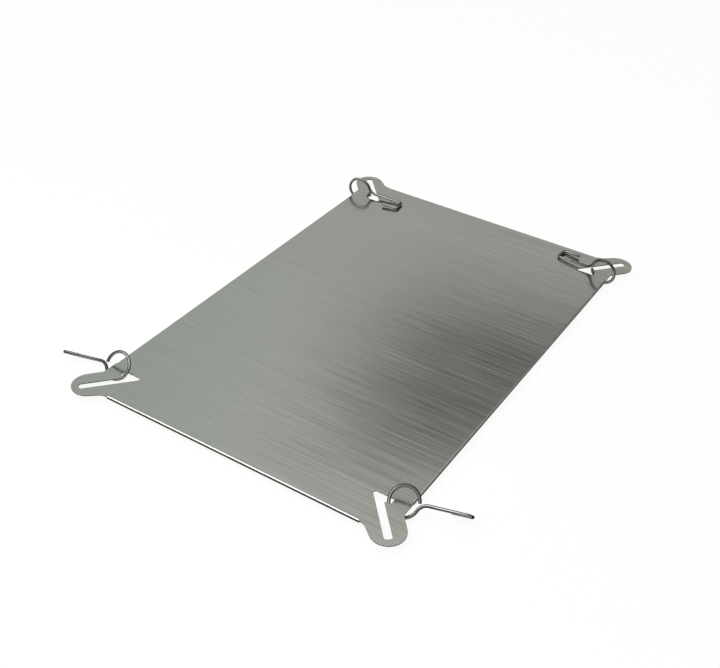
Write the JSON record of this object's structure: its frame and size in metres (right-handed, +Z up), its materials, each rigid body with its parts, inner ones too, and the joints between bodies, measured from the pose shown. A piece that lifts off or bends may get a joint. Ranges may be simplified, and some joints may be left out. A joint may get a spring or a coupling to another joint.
{
  "type": "stove heat shield",
  "caption": "Folded steel heat shield plate for a camp stove, with a slotted ear at each corner and a swinging wire hook in every slot.",
  "frame": {"origin": "on the ground under the middle of the plate, at the height on which the hook rings stand", "axes": "+X to the right along the front edge, +Y to the back along the depth, +Z up"},
  "size_m": [0.3466, 0.42, 0.024],
  "materials": {
    "sheet_steel": "finely brushed along the width",
    "wire_steel": "bright drawn wire"
  },
  "bodies": {
    "plate": {"shield_plate": "sheet_steel"},
    "front_right_hook": {"hook_front_right": "wire_steel"},
    "front_left_hook": {"hook_front_left": "wire_steel"},
    "back_right_hook": {"hook_back_right": "wire_steel"},
    "back_left_hook": {"hook_back_left": "wire_steel"}
  },
  "joints": [
    {"name": "front_right_hook_swing", "type": "hinge", "parent": "plate", "child": "front_right_hook", "pos_m": [0.12742, -0.16931, 0.00858], "axis": [0.0654, -0.6789, 0.7314], "range_deg": [-154, 145]},
    {"name": "front_left_hook_swing", "type": "hinge", "parent": "plate", "child": "front_left_hook", "pos_m": [-0.12742, -0.16953, 0.00936], "axis": [0.0592, 0.7524, -0.6561], "range_deg": [-127, 191]},
    {"name": "back_right_hook_swing", "type": "hinge", "parent": "plate", "child": "back_right_hook", "pos_m": [0.12742, 0.17262, 0.012], "axis": [-0.1115, -0.9938, 0], "range_deg": [-328, 0]},
    {"name": "back_left_hook_swing", "type": "hinge", "parent": "plate", "child": "back_left_hook", "pos_m": [-0.12742, 0.17262, 0.012], "axis": [-0.1115, 0.9938, 0], "range_deg": [-328, 0]}
  ]
}
